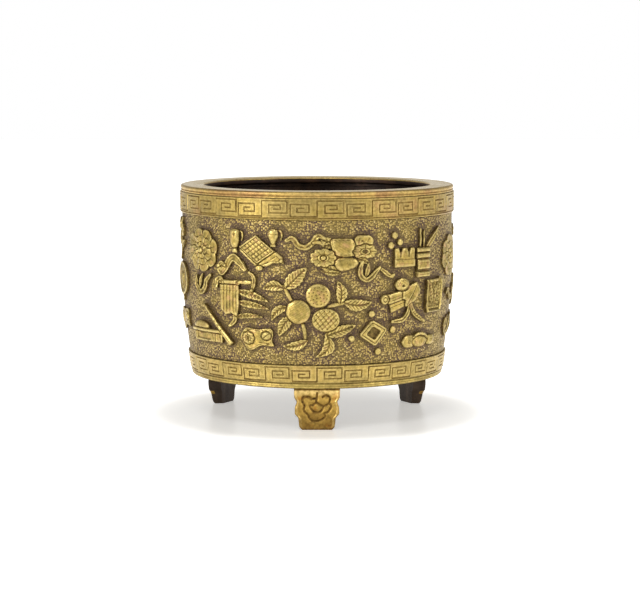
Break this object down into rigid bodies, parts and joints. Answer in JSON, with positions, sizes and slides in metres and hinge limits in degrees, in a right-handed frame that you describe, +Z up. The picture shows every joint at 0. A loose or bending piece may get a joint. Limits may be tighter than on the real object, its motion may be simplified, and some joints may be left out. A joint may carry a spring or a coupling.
{
  "type": "tripod incense burner",
  "caption": "Round gilt-bronze incense burner on bracket feet, with a flat lip and emblems in relief between fret bands.",
  "frame": {"origin": "on the floor, on the vessel's axis", "axes": "+Z up out of the mouth, -Y towards the front foot"},
  "size_m": [0.1227, 0.1236, 0.1019],
  "materials": {
    "punched_ground": "ring-punched and patinated, gilt worn down to brown",
    "gilt_lip": "worn gilt, satin",
    "gilt_band": "worn gilt, satin",
    "gilt_base": "worn gilt, satin",
    "gilt_foot": "worn gilt outside, dark patina behind",
    "dark_bronze": "dark brown patina, matt",
    "gilt_relief": "worn gilt, brown in the recesses"
  },
  "bodies": {
    "root": {"base_plate": "gilt_base", "bead_high": "gilt_relief", "bead_low": "gilt_relief", "bead_middle": "gilt_relief", "blossom_branch": "gilt_relief", "blossom_branch_left_side": "gilt_relief", "body_wall": "punched_ground", "brush_pot": "gilt_relief", "brush_pot_back": "gilt_relief", "brush_rest": "gilt_relief", "canopy": "gilt_relief", "canopy_left_side": "gilt_relief", "casket_and_flute": "gilt_relief", "cloud_gong": "gilt_relief", "cloud_gong_back": "gilt_relief", "cloud_gong_left_side": "gilt_relief", "counter_jar_left": "gilt_relief", "counter_jar_right": "gilt_relief", "fan_left": "gilt_relief", "flower_left": "gilt_relief", "flower_left_side": "gilt_relief", "flower_right_side": "gilt_relief", "folded_ribbon_back": "gilt_relief", "folded_ribbon_left": "gilt_relief", "foot_back_left": "gilt_foot", "foot_back_right": "gilt_foot", "foot_front": "gilt_foot", "framed_pouch": "gilt_relief", "framed_pouch_back": "gilt_relief", "framed_pouch_right_side": "gilt_relief", "fruit_spray": "gilt_relief", "fruit_spray_back": "gilt_relief", "games_table": "gilt_relief", "games_table_back": "gilt_relief", "lobed_root": "gilt_relief", "lobed_root_back": "gilt_relief", "looped_ribbon_left": "gilt_relief", "looped_ribbon_right": "gilt_relief", "lower_fret_band": "gilt_band", "lozenge": "gilt_relief", "lozenge_back": "gilt_relief", "lozenge_bead_left": "gilt_relief", "lozenge_bead_low": "gilt_relief", "lozenge_bead_right": "gilt_relief", "lozenge_bead_top": "gilt_relief", "lozenge_right_side": "gilt_relief", "rim_lip": "gilt_lip", "tenon_washer_back_left": "dark_bronze", "tenon_washer_back_right": "dark_bronze", "tenon_washer_front": "dark_bronze", "tied_books": "gilt_relief", "tied_books_back": "gilt_relief", "trailing_ribbon": "gilt_relief", "trailing_ribbon_back": "gilt_relief", "upper_fret_band": "gilt_band", "wavy_ribbon": "gilt_relief", "wavy_ribbon_left_side": "gilt_relief", "wavy_ribbon_right": "gilt_relief", "wrapped_bundle": "gilt_relief", "wrapped_bundle_back": "gilt_relief"}
  },
  "joints": []
}
